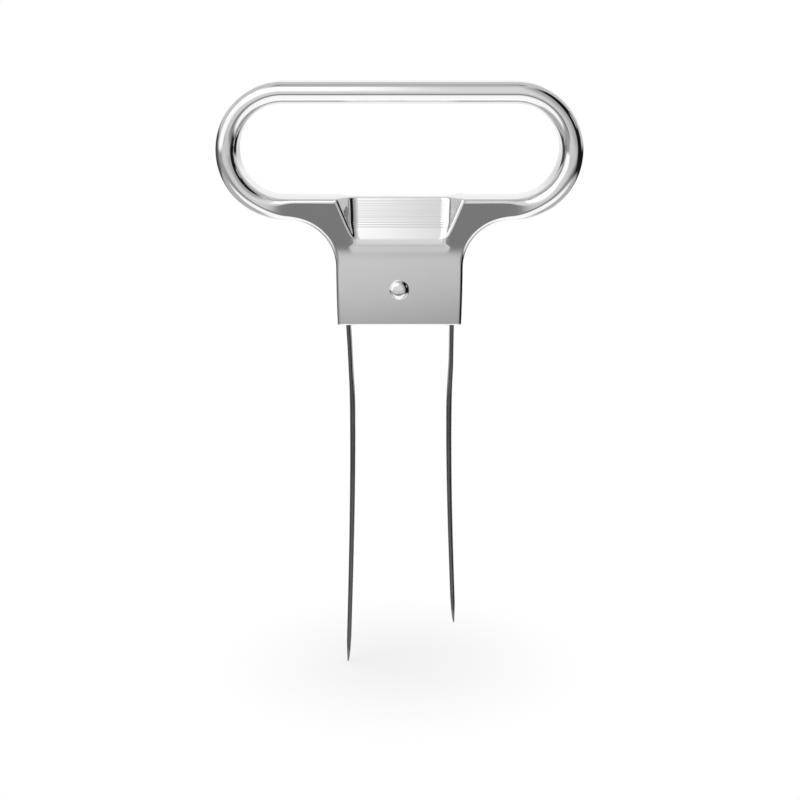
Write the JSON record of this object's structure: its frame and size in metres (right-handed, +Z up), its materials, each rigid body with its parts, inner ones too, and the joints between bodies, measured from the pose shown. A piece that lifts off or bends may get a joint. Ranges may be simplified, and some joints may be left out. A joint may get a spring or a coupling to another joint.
{
  "type": "two-prong corkscrew",
  "caption": "Two-prong cork puller: pressed steel handle with finger loop and ridged thumb rest, and a long and a short flat spring prong that rock on a rivet.",
  "frame": {"origin": "centre of the overall box, midway between the handle's top and the long prong's tip, on the handle's middle plane", "axes": "+Z up along the prongs towards the handle, +X across the handle towards the short prong, +Y from the front face to the rear face"},
  "size_m": [0.0664, 0.011, 0.1125],
  "materials": {
    "handle_steel": "bright chrome plate",
    "plain_steel": "plain turned steel",
    "spring_steel": "ground and plated spring steel"
  },
  "bodies": {
    "handle": {"handle_front_shell": "handle_steel", "handle_rear_shell": "handle_steel", "rivet": "handle_steel", "pivot_sleeve": "plain_steel"},
    "prongs": {"prong_strip": "spring_steel"}
  },
  "joints": [
    {"name": "prong_rock", "type": "hinge", "parent": "handle", "child": "prongs", "pos_m": [0, 0, 0.01885], "axis": [0, 1, 0], "range_deg": [-4, 4]}
  ]
}
